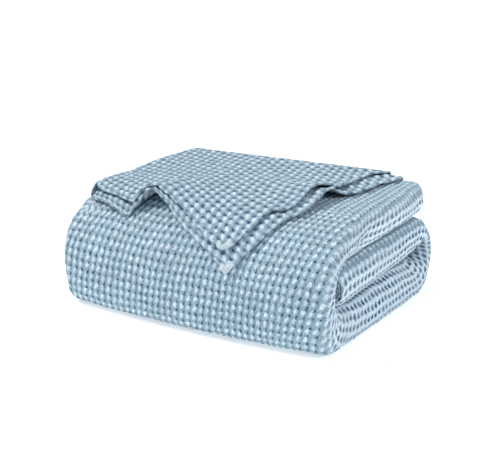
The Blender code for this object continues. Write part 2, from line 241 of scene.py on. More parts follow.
def front_inner(turn):
    """Inner face of the front turn, which wraps the front of the middle pass."""
    angle = np.pi * turn
    low = crease(LOW_CREASE, FRONT_HOLLOW_Y) - PASS_GAP / 2
    high = crease(HIGH_CREASE, FRONT_HOLLOW_Y) + PASS_GAP / 2
    y = FRONT_HOLLOW_Y - FRONT_HOLLOW_REACH * rounded(np.sin(angle), FRONT_HOLLOW_POWER)
    return y, (low + high) / 2 - (high - low) / 2 * rounded(np.cos(angle), FRONT_HOLLOW_POWER)


def back_outer(turn):
    """Outer face of the back turn, from 0 on the middle pass to 1 underneath."""
    angle = np.pi * turn
    half = (crease(HIGH_CREASE, BACK_CENTRE_Y) - PASS_GAP / 2) / 2
    y = BACK_CENTRE_Y + (BACK_Y - BACK_CENTRE_Y) * rounded(np.sin(angle), BACK_POWER)
    return y, half + half * rounded(np.cos(angle), BACK_POWER)


def back_inner(turn):
    """Inner face of the back turn, which swells into a drop-shaped hollow."""
    depth = np.sin(np.pi * turn)
    y = BACK_HOLLOW_FROM + (BACK_HOLLOW_TO - BACK_HOLLOW_FROM) * depth
    half = PASS_GAP / 2 + BACK_HOLLOW_SWELL * depth**2 * np.abs(np.cos(np.pi * turn))
    return y, crease(LOW_CREASE, y) + np.where(turn < 0.5, half, -half)


print("middle of the front turn, y and z:", np.round(front_outer(np.array(0.5)), 3))

# %% Stations along the strip's run
TURN_STEPS = 60
MIDDLE_START_Y = -0.116  # the front end of the middle pass, where the run starts
END_STATIONS = np.array((0.0, 0.03, 0.08, 0.15, 0.25, 0.4, 0.7, 1.0))
END_THICKNESS = 0.6  # of the strip's thickness, at that end
TOP_END_Y = 0.150
TOP_DEPTHS = (0.050, 0.120, TOP_END_Y)
FOLD_REACH = 0.80  # how far a fold at the strip's sides stands out, for each radius
FRONT_FOLD_REACH = 0.40  # and in the middle of the front turn
ROUND = 2.0  # power of a side fold
PRESSED = 3.0  # and of one that the bundle's weight presses


def strip_run():
    """Stations along the run: a row for each column of the table below, and then the length."""
    turn = np.linspace(0.0, 1.0, TURN_STEPS + 1)
    y = MIDDLE_START_Y + (FRONT_HOLLOW_Y - MIDDLE_START_Y) * END_STATIONS
    middle = (crease(LOW_CREASE, y) + crease(HIGH_CREASE, y)) / 2
    half = (crease(HIGH_CREASE, y) - crease(LOW_CREASE, y)) / 2 - PASS_GAP / 2
    half = half * (END_THICKNESS + (1 - END_THICKNESS) * np.sqrt(1 - (1 - END_STATIONS) ** 2))
    front_reach = FOLD_REACH + (FRONT_FOLD_REACH - FOLD_REACH) * np.sin(np.pi * turn) ** 2
    top = np.array(TOP_DEPTHS)
    stretches = (
        # inner y and z, outer y and z, share of the front's give, side folds' reach and power
        (y, middle - half, y, middle + half, 0.0, FOLD_REACH, ROUND),
        (*back_inner(turn), *back_outer(turn), 0.0, FOLD_REACH, ROUND + (PRESSED - ROUND) * turn),
        (*front_inner(turn), *front_outer(turn), 1.0, front_reach,
         PRESSED + (ROUND - PRESSED) * turn),
        (top, crease(HIGH_CREASE, top) + PASS_GAP / 2, top, HEIGHT, 0.0, FOLD_REACH, ROUND),
    )
    table = np.hstack([np.stack(np.broadcast_arrays(*stretch)) for stretch in stretches])
    steps = np.hypot(np.diff(table[2]), np.diff(table[3]))
    return np.vstack([table, np.concatenate([[0.0], np.cumsum(steps)])])


RUN = strip_run()
RUN_LENGTH = RUN[-1, -1]
print("length of the strip along its outer face, mm:", round(1000 * RUN_LENGTH))

# %% From places in the strip to places in space
FRONT_BOW = 0.013  # how far the front bows forwards in its middle
LEFT_SINK = 0.008  # how far the top of the front sinks at its left end
SINK_FROM = -0.100
FLAT_TOP_FROM = RUN_LENGTH - (TOP_END_Y - TOP_DEPTHS[0]) - CLOSE  # along the run
TOP_INSETS = (0.000, 0.002, 0.015)  # how far the top draws in at the right, at TOP_DEPTHS
DRAW_IN_FROM = 0.140
SPARE_ANYWAY = 0.05  # share of the strip's thickness that is free on each face as it is
MOST_SPARE = 0.2


def front_give(x, z):
    """How far the front turn's outer layers bow forwards and sink, at a place on them."""
    bow = FRONT_BOW * (1.0 - (x / (WIDTH / 2)) ** 2)
    above = np.clip((z - FRONT_HEIGHT) / (HEIGHT - FRONT_HEIGHT), 0.0, 1.0)
    beyond = np.maximum(SINK_FROM - x, 0.0) / (WIDTH / 2 + SINK_FROM)
    return bow, LEFT_SINK * beyond * above


def station_at(length):
    """The run's columns at lengths along its outer face, one row of values for each length."""
    return [np.interp(length, RUN[-1], column)[:, None] for column in RUN[:-1]]


def in_space(length, x, through, room=0.0):
    """Points of the strip. length is along the run; x and through have a row for each length.

    room presses the layers towards the middle of the strip, to leave that much on both faces.
    """
    inner_y, inner_z, outer_y, outer_z, give, *_ = station_at(length)
    depth = np.hypot(outer_y - inner_y, outer_z - inner_z)
    spare = np.clip((room - SPARE_ANYWAY * depth) / depth, 0.0, MOST_SPARE)
    share = spare + through / STRIP * (1.0 - 2.0 * spare)
    y = inner_y + (outer_y - inner_y) * share
    z = inner_z + (outer_z - inner_z) * share
    bow, sink = front_give(x, z)
    weight = give * np.maximum(2.0 * share - 1.0, 0.0)
    drawn = np.maximum(x - DRAW_IN_FROM, 0.0) / (WIDTH / 2 - DRAW_IN_FROM)
    drawn = drawn * np.interp(y, TOP_DEPTHS, TOP_INSETS) * (length > FLAT_TOP_FROM)[:, None]
    return np.stack([x - drawn, y - bow * weight, z - sink * weight], axis=-1)


print("end of the top:", in_space(np.array([RUN_LENGTH]), np.zeros((1, 1)), np.full((1, 1), STRIP)))

# %% [markdown]
# ## One layer of cloth across the strip
#
# Seen from its end, the strip is the doubled cloth going back and forth. Each layer of cloth
# in it is a line at its own distance from the middle of the doubled cloth. The line is drawn
# through the levels that it visits, with a half round at each fold, and read off at equal steps
# of its own length, because cloth bends but hardly stretches.

# %% The line of a layer through the levels of the strip
# The doubled cloth's way through the levels, from 0 inside to 7 on the outer face.
WAY = (0, 7, 4, 3, 2, 5, 6, 1)
HEM_X = -WIDTH / 2 + PITCH  # the hems of the folded cloth lie at the left
# The hemmed ends of the eight levels don't lie quite above each other.
END_STAGGER = (0.000, -0.006, -0.002, -0.007, -0.003, -0.008, -0.004, -0.001)
STAGGER_OVER = 0.040  # length over which they come apart


def layer_line(run_at, levels, at_right, offset, ends, shift, flats, turns):
    """x, depth and stagger of a line through the levels, with a row for each length of run_at.

    at_right says where the first fold is. offset is the line's distance from the middle of the
    doubled cloth, towards the outside of the largest fold. ends are the x where the line starts
    and ends, and shift moves the right-hand folds to the left. flats are shares of each level's
    width, and turns are shares of each fold's half round.
    """
    *_, reach, power = station_at(run_at)
    right = WIDTH / 2 - LEVELS / 2 * PITCH * reach - shift
    left = -WIDTH / 2 + LEVELS / 4 * PITCH * reach
    angle = (turns[None, :] - 0.5) * np.pi
    parts = []
    x_now = ends[0]
    for level, following, flat in zip(levels, [*levels[1:], None], flats):
        side = -1.0 if level % 2 == 0 else 1.0
        x_next = right if at_right else left
        if following is None:
            x_next = ends[1]
        parts.append((x_now + (x_next - x_now) * flat, (level + 0.5) * PITCH + side * offset,
                      END_STAGGER[level]))
        if following is None:
            break
        rising = 1.0 if following > level else -1.0
        outward = 1.0 if at_right else -1.0
        radius = abs(following - level) * PITCH / 2 - rising * side * offset
        up = np.sin(angle) * rising
        bend = np.where(up > 0.0, power, ROUND)
        blend = (1.0 + np.sin(angle)) / 2
        parts.append((x_next + radius * reach * rounded(np.cos(angle), bend) * outward,
                      (level + following + 1) / 2 * PITCH + radius * rounded(up, bend),
                      END_STAGGER[level] * (1.0 - blend) + END_STAGGER[following] * blend))
        x_now = x_next
        at_right = not at_right
    return np.concatenate([np.stack(np.broadcast_arrays(*part)) for part in parts], axis=2)


print("ends of the levels part by up to, mm:", -1000 * min(END_STAGGER))


# %% A layer's points in space
def layer_points(run_at, room, **line):
    """A grid of points on a layer: a row for each length along the run."""
    x, depth, stagger = layer_line(run_at, **line)
    points = in_space(run_at, x, depth, room)
    near_end = np.clip((run_at - RUN_LENGTH) / STAGGER_OVER + 1.0, 0.0, 1.0)
    points[..., 1] += stagger * near_end[:, None]
    return points


def lengths_along(line):
    """Length from the first of a line's points to each of them."""
    return np.concatenate([[0.0], np.cumsum(np.linalg.norm(np.diff(line, axis=0), axis=1))])


def evenly_spaced(points, across_at, flat):
    """The same grid, read off at lengths across it from where x is 0 on the given stretch."""
    grid = []
    for row in points:
        total = lengths_along(row)
        middle = np.interp(0.0, row[flat, 0], total[flat])
        grid.append([np.interp(across_at + middle, total, row[:, k]) for k in range(3)])
    return np.array(grid).transpose(0, 2, 1)


print("lengths along two sides of a square:", lengths_along([(0, 0), (1, 0), (1, 1)]))

# %% [markdown]
# ## The weave
#
# In a waffle weave the longest floats of warp and weft cross at the corners of each cell and
# stand highest there, and the middle of the cell is plain weave and lies deepest. On the other
# side of the cloth it is the middle of the cell that stands out as a round nub. Real cells are
# never quite even, so a few long waves push the pattern about, and each nub has its own size.
#
# The cells are real relief. Each point's place in the pattern is also kept on the mesh, where
# the material reads it.

# %% Places in the pattern of the weave
CELL = 0.010  # a cell where the cloth is pulled evenly
# Cells for each metre. The cloth is pulled tight to the left of the front, and the cells crowd
# towards the right and on top. Round the right fold they are wide across.
ACROSS_PULL = ((-0.30, 94), (-0.14, 94), (-0.02, 100), (0.12, 118), (0.165, 110), (0.195, 80),
               (0.70, 80))
ALONG_PULL = ((0.00, 82), (0.85, 83), (0.92, 100), (1.10, 104))
SUM_STEPS = 400
# Cells that the columns move to the left on their way up the front and over the top.
LEANING = ((0.00, 5.0), (0.60, 5.0), (0.86, 0.0), (1.10, 2.5))
FAN = 0.44  # how much closer the rows get for each metre towards the right
FAN_MIDDLE = 0.66  # place along the run that the rows spread away from
FAN_ENDS = (-0.20, 0.12)
DRIFTS = (
    # waves across and along for each metre, phase, cells moved across and along
    (2.1, 1.3, 0.4, 0.14, -0.10),
    (-3.4, 2.2, 1.9, -0.10, 0.10),
    (7.2, 4.1, 3.1, 0.07, 0.06),
    (-9.3, 11.9, 5.0, 0.05, -0.05),
    (31.0, 17.0, 0.9, 0.035, 0.025),
    (-19.0, 37.0, 2.6, 0.030, 0.035),
)


def summed(table, at):
    """Cells counted up to each place, from a table of places and cells for each metre."""
    places_in, pull = np.array(table).T
    fine = np.linspace(places_in[0], places_in[-1], SUM_STEPS)
    counted = np.cumsum(np.interp(fine, places_in, pull)) * (fine[1] - fine[0])
    return np.interp(at, fine, counted - np.interp(0.0, fine, counted))


def drifted(p, q, across, along):
    """Places in the pattern, p across and q along in cells, moved by a few long waves."""
    for waves_across, waves_along, phase, move_across, move_along in DRIFTS:
        wave = np.sin(2 * np.pi * (waves_across * across + waves_along * along) + phase)
        p = p + move_across * wave
        q = q + move_along * wave
    return p, q


def bundle_cells(across, along):
    """Places in the pattern of places on the cloth of the bundle, in metres."""
    lean, amount = np.array(LEANING).T
    p = summed(ACROSS_PULL, across) + np.interp(along, lean, amount)
    counted = summed(ALONG_PULL, along) - summed(ALONG_PULL, FAN_MIDDLE)
    return drifted(p, counted * (1.0 + FAN * np.clip(across, *FAN_ENDS)), across, along)


def corner_cells(x, down):
    """The same on the corner that is laid back, where the cloth is pulled aslant."""
    terms = (
        # what counts, from places in metres, and the columns and rows passed for one of it
        (x, 80.0, 0.0),
        (down, -22.0, 55.0),
        (np.maximum(down - 0.20, 0.0), 30.0, 0.0),      # below the bend over the front
        (np.minimum(down, 0.0), 0.0, 30.0),             # in the turn at the back
        (down**2, 0.0, 75.0),
        (np.maximum(x, -0.05), 0.0, -45.0),             # the rows slant, less near the left side
        (np.minimum(x + 0.05, 0.0), 0.0, -25.0),
    )
    p = sum(columns * term for term, columns, _ in terms)
    q = sum(rows * term for term, _, rows in terms)
    return drifted(p, q, x, down)


print("cells across the front:", round(float(np.ptp(summed(ACROSS_PULL, (-0.2, 0.2)))), 1))

# %% Height of the weave
PIT = 0.12  # height at the bottom of a pit, on a scale to 1 on the highest nub
NUB_TILT = 0.30  # cells that a nub leans to the right for each cell of its length
PITTED_SIDE = (
    # middle and reach in cells, lean, least size, spread of sizes, seed of the spread, height
    ((0.5, 0.5), (0.38, 0.50), NUB_TILT, 0.70, 0.55, 1.0, 0.68),
    ((0.5, 0.0), (0.32, 0.36), NUB_TILT, 0.60, 0.60, 3.0, 0.30),
)
NUBBED_SIDE = (
    ((0.5, 0.5), (0.44, 0.44), 0.0, 0.70, 0.45, 2.0, 0.80),
    ((0.0, 0.0), (0.30, 0.30), 0.0, 1.00, 0.00, 4.0, 0.25),
)


def scatter(i, j, seed):
    """A fixed number from 0 to 1 for each cell, with no order to it."""
    value = np.sin(i * 127.1 + j * 311.7 + seed * 74.7) * 43758.5453
    return value - np.floor(value)


def weave_height(side, p, q):
    """Height of one side of the cloth, from the table of the round lumps in its cells."""
    height = PIT
    for centre, reach, lean, least, spread, seed, rise in side:
        in_p = p - centre[0] + 0.5
        in_q = q - centre[1] + 0.5
        from_p = in_p % 1.0 - 0.5
        from_q = in_q % 1.0 - 0.5
        r = np.hypot((from_p - lean * from_q) / reach[0], from_q / reach[1])
        size = least + spread * scatter(np.floor(in_p), np.floor(in_q), seed)
        height = height + rise * (np.sqrt(np.clip(1.0 - r**2, 0.0, 1.0)) * size)
    return np.clip(height, 0.0, 1.0)


print("heights over half a cell:", np.round(weave_height(NUBBED_SIDE, np.linspace(0, 0.5, 4), 0.5), 2))

# %% [markdown]
# ## Building a thin closed sheet
#
# Every layer is built the same way: a grid of points on one face, a grid on the other, and a
# rim that joins them. A face that is pressed against the next layer and never shows can do with
# every sixth point, and the rim then joins six short edges to one long one.

# %% Rounded edges
RIM = 0.0016  # how far in from its edge a cloth rounds off
RIM_LINES = (0.0, 0.12, 0.38, 0.75)
EDGE_FULLNESS = 0.2  # share of its thickness that the cloth has at its very edge


def places(start, end, step, round_start=True, round_end=True):
    """Places from start to end, closer together where an edge rounds off."""
    at = np.linspace(start, end, max(int(round((end - start) / step)), 2) + 1)
    lines = RIM * np.array(RIM_LINES)
    if round_start:
        at = np.concatenate([start + lines, at[at > start + RIM * 1.1]])
    if round_end:
        at = np.concatenate([at[at < end - RIM * 1.1], (end - lines)[::-1]])
    return at


def rim_fullness(from_edge):
    """How much of its thickness the cloth has at distances from its edge."""
    inwards = np.clip(from_edge / RIM, 0.0, 1.0)
    return EDGE_FULLNESS + (1.0 - EDGE_FULLNESS) * np.sqrt(1.0 - (1.0 - inwards)**2)


print("fullness at the lines of a rim:", np.round(rim_fullness(RIM * np.array(RIM_LINES)), 2))


# %% Grids of points
def grid_normals(points):
    """Unit normals of a grid of points, from the differences to its neighbours."""
    normal = np.cross(np.gradient(points, axis=1), np.gradient(points, axis=0))
    return normal / np.maximum(np.linalg.norm(normal, axis=2, keepdims=True), 1e-12)


def grid_quads(numbers, flip):
    """Quads of a grid of point numbers."""
    a, b = numbers[:-1, :-1], numbers[:-1, 1:]
    c, d = numbers[1:, 1:], numbers[1:, :-1]
    return np.stack([a, d, c, b] if flip else [a, b, c, d], axis=-1).reshape(-1, 4).tolist()


def border(numbers):
    """Point numbers round the edge of a grid, in order."""
    return np.concatenate([numbers[0, :-1], numbers[:-1, -1], numbers[-1, :0:-1],
                           numbers[:0:-1, 0]]).tolist()


def every(count, step):
    """Numbers below count, from 0 in equal steps, and the last one."""
    return [*range(0, count - 1, step), count - 1]


def rim_faces(fine, coarse, pick):
    """Faces from the border of a fine grid to that of a coarse one, which has its pick."""
    long_way = border(fine)
    short_way = border(coarse)
    kept = set(fine[pick].ravel().tolist())
    stops = [k for k, number in enumerate(long_way) if number in kept] + [len(long_way)]
    long_way.append(long_way[0])
    short_way.append(short_way[0])
    faces = []
    for k, (start, end) in enumerate(zip(stops, stops[1:])):
        run = long_way[start:end + 1]
        first, last = short_way[k:k + 2]
        if len(run) == 2:
            faces.append([run[1], run[0], first, last])
            continue
        middle = (len(run) - 1) // 2
        for i in range(len(run) - 1):
            faces.append([run[i + 1], run[i], first if i < middle else last])
        faces.append([run[middle], first, last])
    return faces


print("border of a small grid:", border(np.arange(9).reshape(3, 3)))

# %% A closed sheet from two grids
SHARP_RIM = math.radians(80)


def closed_sheet(name, face, back, marks, maps, material, back_step=1):
    """A sheet between a face and a back, of which only every so many rows and columns are kept.

    marks are values for each point of the face, by name. maps are pairs of values for each
    point: its place on the flat cloth in metres, and its place in the pattern in cells.
    """
    pick = np.ix_(every(face.shape[0], back_step), every(face.shape[1], back_step))
    points = np.concatenate([face.reshape(-1, 3), back[pick].reshape(-1, 3)])
    fine = np.arange(face[..., 0].size).reshape(face.shape[:2])
    coarse = fine.size + np.arange(fine[pick].size).reshape(fine[pick].shape)
    faces = grid_quads(fine, False) + grid_quads(coarse, True) + rim_faces(fine, coarse, pick)
    mesh = bpy.data.meshes.new(name)
    mesh.from_pydata(points.tolist(), [], faces)
    for mark, values in marks.items():
        both = np.concatenate([values.ravel(), values[pick].ravel()]).astype(np.float32)
        mesh.attributes.new(mark, "FLOAT", "POINT").data.foreach_set("value", both)
    corners = np.zeros(len(mesh.loops), dtype=np.int32)
    mesh.loops.foreach_get("vertex_index", corners)
    for map_name, pair in maps.items():
        pair = np.stack(pair, axis=-1).astype(np.float32)
        both = np.concatenate([pair.reshape(-1, 2), pair[pick].reshape(-1, 2)])
        mesh.uv_layers.new(name=map_name).data.foreach_set("uv", both[corners].ravel())
    mesh.set_sharp_from_angle(angle=SHARP_RIM)
    mesh.materials.append(material)
    piece = bpy.data.objects.new(name, mesh)
    bpy.context.scene.collection.objects.link(piece)
    return piece


# %% [markdown]
# ## The cotton
#
# The cloth is piece dyed cotton yarn, soft and matt. Its nubs are brushed and pale, and they
# carry a painted highlight as well. Little light comes back out of the pits, so they carry
# painted shade, to the lower right of each low lump, away from the light on the left, and the
# left side of each lump carries painted light. So each cell is painted as a few soft spots, at
# the places where the weave has its nub, its low lump and its pit. The mesh brings its place in
# the pattern as a second UV map, so that relief and colour fall together, and noise makes the
# edges of the spots ragged, as loose fibres do. Where the right fold pulls the cloth taut, the
# pits open into slots with painted shade in them, on a ground paled with painted light. The
# yarns are about 1.2 mm thick, too fine to model over the whole bundle, so they are a bump.

# %% Colours and sizes of the cotton
GROUND = "88a4b4"
PIT_SHADE = "24506c"  # painted shade in the pits, at the lower right of each low lump
FLOAT = "95b0bf"  # the threads that cross between the pits, and painted light left of each lump
LUMP = "8aa6b4"  # the plain weave at the bottom of a cell
DEEP_SHADE = "1c4a6b"  # painted shade in the pits between round nubs, and in the slots round the right fold
# the pale brushed nubs, with a painted highlight on them as well
NUB = "d3e3ec"
FOLD_PAINTED_LIGHT = "cde0ec"  # painted light on the ground round the right fold, where the cloth is taut
HEM_EDGE = "b8cfdd"
CORNER_SQUARE = "bccdd6"
YARNS = 830.0  # yarns for each metre, so 1.2 mm each
SLUBS = 450.0  # thick and thin places for each metre, 2.2 mm apart
FIBRES = 330.0  # bunches of loose fibres for each metre, 3 mm apart
BLOTCHES = 26.0  # waves of uneven dye and pull for each metre, 38 mm apart
RAGGED = 0.60  # how far loose fibres move the edges of the spots, in cells
RAGGED_WHERE_TAUT = 0.25
WEAKEST_NUB = 0.6
# how strongly the painted light is laid on the ground of the right fold
FOLD_LIGHT_STRENGTH = 0.8
SLUB_DEPTH = 0.0012
YARN_DEPTH = 0.0008
BUMP_STRENGTH = 0.7

# Pale blue cotton gives the eye the dry, fuzzy cloth and the rows of nubs. The dark of the pits
# and slots is painted shade, and the pale of the nubs is partly a painted highlight.
# Its sheen is the fuzz, which stands up and catches a little light at the edges of folds.
cotton, tree, shader = new_material("pale_blue_waffle_cotton", {
    "Roughness": 0.9, "Specular IOR Level": 0.25, "Sheen Weight": 0.2, "Sheen Roughness": 0.5})
print("yarn, mm:", round(1000 / YARNS, 1))

# %% Values from the mesh, and noise
NOISES = (("slubs", SLUBS, "Fac"), ("blotches", BLOTCHES, "Fac"), ("yarns", YARNS, "Fac"),
          ("fibres", FIBRES, "Color"))
STRENGTHS = (
    # name, its noise, least and greatest strength
    ("slubs", "slubs", 0.72, 1.22),
    ("dye", "blotches", 0.92, 1.06),
    ("pull", "blotches", 0.55, 1.10),
)
flat_cloth, in_cells = [add_node(tree, "UVMap", {}, uv_map=name)
                        for name in ("flat cloth", "cells")]
# The mark over the right fold says where its painted light and painted shade go.
flatness, pitted, square, over_right_fold = [
    add_node(tree, "Attribute", {}, "Fac", attribute_name=mark)
    for mark in ("flatness", "pitted", "corner square", "over_right_fold")]
noise, strength = {}, {}
for name, waves, output in NOISES:
    sockets = {"Vector": flat_cloth, "Scale": waves, "Detail": 2.0}
    noise[name] = add_node(tree, "TexNoise", sockets, output)
for name, source, least, greatest in STRENGTHS:
    sockets = {"Value": noise[source], "From Min": 0.3, "From Max": 0.7, "To Min": least,
               "To Max": greatest}
    strength[name] = add_node(tree, "MapRange", sockets)

push = add_node(tree, "VectorMath", {0: noise["fibres"], 1: (0.5, 0.5, 0.5)},
                operation="SUBTRACT")
push_size = add_node(tree, "MapRange",
                     {"Value": over_right_fold, "To Min": RAGGED, "To Max": RAGGED_WHERE_TAUT})
pushed = add_node(tree, "VectorMath", {0: push, "Scale": push_size}, operation="SCALE")
ragged = add_node(tree, "VectorMath", {0: pushed, 1: (1.0, 1.0, 0.0), 2: in_cells},
                  operation="MULTIPLY_ADD")
print("noises:", ", ".join(noise))


# %% Spots of colour in every cell
def spots(centre, reach, hard, lean=0.0):
    """Factor of the spots in every cell, 1 from the middle out to the share hard of the reach.

    Each is an ellipse that leans to the right by lean degrees.
    """
    moved = add_node(tree, "VectorMath",
                     {0: ragged, 1: (0.5 - centre[0], 0.5 - centre[1], 0.0)})
    wrapped = add_node(tree, "VectorMath", {0: moved}, operation="FRACTION")
    scaled = add_node(tree, "Mapping",
                      {"Vector": wrapped, "Location": (0.5, 0.5, 0.0),
                       "Rotation": (0.0, 0.0, -math.radians(lean)),
                       "Scale": (*reach, 1.0)}, vector_type="TEXTURE")
    radius = add_node(tree, "VectorMath", {0: scaled}, "Value", operation="LENGTH")
    return add_node(tree, "MapRange", {"Value": radius, "From Min": 1.0, "From Max": hard},
                    interpolation_type="SMOOTHSTEP")


cell_number = add_node(tree, "VectorMath", {0: in_cells}, operation="FLOOR")
chance = add_node(tree, "TexWhiteNoise", {"Vector": cell_number}, "Value",
                  noise_dimensions="2D")
nub_strength = add_node(tree, "MapRange", {"Value": chance, "To Min": WEAKEST_NUB})
plain = add_node(tree, "Math", {0: 1.0, 1: pitted}, operation="SUBTRACT")
# How strong the painted shade in the slots round the right fold is.
slot_shade_strength = add_node(tree, "Math", {0: over_right_fold, 1: strength["pull"]},
                         operation="MULTIPLY")
LAYERS = (
    # each over the ones before it, as strongly as its two factors multiplied
    # painted shade in the pits, to the lower right of each low lump, away from the light
    (PIT_SHADE, spots((0.76, -0.12), (0.26, 0.33), 0.25, 25), pitted),
    # painted light on the left side of each low lump, where the light from the left falls
    (FLOAT, spots((0.10, 0.02), (0.25, 0.29), 0.30), pitted),
    (LUMP, spots((0.50, 0.03), (0.27, 0.30), 0.65), pitted),
    # painted shade in the pits between the round nubs
    (DEEP_SHADE, spots((0.12, 0.08), (0.42, 0.37), 0.15), plain),
    # pale nubs, partly a painted highlight
    (NUB, spots((0.5, 0.5), (0.36, 0.46), 0.35, 22), nub_strength),
    # painted light on the ground round the right fold
    (FOLD_PAINTED_LIGHT, over_right_fold, FOLD_LIGHT_STRENGTH),
    # painted shade in the slots that open round the right fold
    (DEEP_SHADE, spots((0.0, 0.0), (0.43, 0.45), 0.45), slot_shade_strength),
    (HEM_EDGE, flatness, 1.0),
    (CORNER_SQUARE, square, 1.0),
)
colour = linear(GROUND)
for layer, place_factor, strength_factor in LAYERS:
    factor = add_node(tree, "Math", {0: place_factor, 1: strength_factor}, operation="MULTIPLY")
    # Inputs 6 and 7 of a Mix node are its two colours, and output 2 is the mixed colour.
    colour = add_node(tree, "Mix", {0: factor, 6: colour, 7: linear(layer)}, 2,
                      data_type="RGBA")
print("layers of colour:", len(LAYERS))

# %% Uneven dye, slubs and yarns
brightness = add_node(tree, "Math", {0: strength["dye"], 1: strength["slubs"]},
                      operation="MULTIPLY")
toned = add_node(tree, "VectorMath", {0: colour, "Scale": brightness}, operation="SCALE")
tree.links.new(toned, shader.inputs["Base Color"])
bump = {"Strength": BUMP_STRENGTH}
for name, depth in (("slubs", SLUB_DEPTH), ("yarns", YARN_DEPTH)):
    bump.update({"Height": noise[name], "Distance": depth})
    bump["Normal"] = add_node(tree, "Bump", bump)
tree.links.new(bump["Normal"], shader.inputs["Normal"])
print("cotton nodes:", len(tree.nodes))

# %% [markdown]
# ## The outermost layer
#
# The layer that shows all round the bundle starts inside the left fold and goes round it, across
# the whole face of the strip, round the right fold, and back along the strip's inner face.
# Nearly all of the picture is this one cloth, so its cells are real relief, sunk into the face.
# It is built in two lengths that meet under the bundle, to keep each mesh a fair size.

# %% The outermost layer, in two lengths
RELIEF = 0.0021  # from the tops of the nubs to the bottoms of the pits
PLY = 0.0025  # thickness from the tops of the nubs to the back
UNDER_LEFT = 0.012  # how far the layer goes on behind the left fold
START_X = -WIDTH / 2 + UNDER_LEFT + 2 * PITCH
LEFT_REACH = 0.232  # its length from the middle to there
RIGHT_REACH = 0.300  # and to where it is well under the strip's right end
FAR_REACH = 0.600  # and to its far hem, with a column for each cell as none shows
HEM = 0.009  # width of the turned and stitched edge
HEM_EASE = 0.002  # length over which the cells go flat there
HEM_FLATTENING = 0.6  # share of their height that they lose
HEM_LEVEL = 0.35
HEM_PALENESS = 0.3
STRETCH_FROM = 0.190  # from here on the right fold pulls the pits open into slots of painted shade
STRETCH_OVER = 0.020
STEP_ALONG = 0.0021
STEP_ACROSS = 0.00175
BACK_STEP = 6  # steps of the face for each step of the back
FLAT_POINTS = 30  # of the layer's line on each level, and round each fold
FOLD_POINTS = 40
FLATS = [np.linspace(0.0, 1.0, FLAT_POINTS)] * 3
TURNS = np.linspace(0.0, 1.0, FOLD_POINTS + 2)[1:-1]
ON_LEVEL_7 = slice(FLAT_POINTS + FOLD_POINTS, 2 * FLAT_POINTS + FOLD_POINTS)


def outermost(name, run_from, run_to):
    """One length of the outermost layer, with a hem at the end that is an end of the run."""
    at_start = run_from == 0.0
    run_at = places(run_from, run_to, STEP_ALONG, at_start, not at_start)
    near = np.arange(-LEFT_REACH, RIGHT_REACH, STEP_ACROSS)
    far = np.arange(near[-1] + CELL, FAR_REACH, CELL)
    across_at = np.concatenate([near, far])
    points = layer_points(run_at, 0.0, levels=WAY[2::-1], at_right=False, offset=HALF_CLOTH,
                          ends=(START_X, HEM_X), shift=0.0, flats=FLATS, turns=TURNS)
    points = evenly_spaced(points, across_at, ON_LEVEL_7) + TO_FRAME
    normals = grid_normals(points)
    along, across = np.meshgrid(run_at, across_at, indexing="ij")
    p, q = bundle_cells(across, along)
    from_hem = np.minimum(along, RUN_LENGTH - along)
    in_hem = np.clip((HEM - from_hem) / HEM_EASE, 0.0, 1.0)
    height = weave_height(PITTED_SIDE, p, q)
    height = height * (1.0 - HEM_FLATTENING * in_hem) + HEM_LEVEL * in_hem
    over_fold = np.clip((across - STRETCH_FROM) / STRETCH_OVER, 0.0, 1.0)
    # The last mark says where the right fold gets painted shade in its slots and painted light on its
    # ground.
    marks = {"flatness": HEM_PALENESS * in_hem, "pitted": 1.0 - over_fold,
             "over_right_fold": over_fold}
    maps = {"flat cloth": (across, along), "cells": (p, q)}
    sunk = RELIEF * (1.0 - height) + (1.0 - rim_fullness(from_hem)) * PLY / 2
    return closed_sheet(name, points - normals * sunk[..., None], points - normals * PLY, marks,
                        maps, cotton, BACK_STEP)


at_back_edge = (RUN[3] < CLOSE) & (RUN[2] > BACK_CENTRE_Y - CLOSE)
bottom = np.flatnonzero(at_back_edge)[-1]
under_middle = (RUN[-1][bottom] + RUN[-1][bottom + 1]) / 2
outer = [outermost("outer_layer_back", 0.0, under_middle),
         outermost("outer_layer_front", under_middle, RUN_LENGTH)]
print("lengths meet at, mm:", round(1000 * under_middle), "of", round(1000 * RUN_LENGTH))

# %% [markdown]
# ## The layers inside
#
# Behind the outer layer the rest of the blanket goes back and forth. Only its folds and edges
# show, at the ends of the bundle and at the back, so each layer is one coarse sheet: the rest
# of the same face of the doubled cloth, and the whole of its other face.

# %% The inner layers
INNER_STEP = 0.0105
INNER_PLY = 0.0021
INNER_RUN = (0.001, RUN_LENGTH - 0.0005)  # just inside the outer layer's hems
INNER_SHIFT = 0.0022  # how far their right-hand folds stay inside the outer layer
INNER_ROOM = 0.0025  # and inside its face
INNER_TURNS = np.linspace(0.0, 1.0, 11)[1:-1]
INNER_FLAT = np.linspace(0.0, 1.0, 13)
INNER_HEM = np.array([0.0, 0.001, 0.003, 0.006, 0.02, 0.04, 0.07, 0.1])
PLY_OFFSET = HALF_CLOTH - PLY / 2 - 0.0001  # with a hair of air to the outer layer


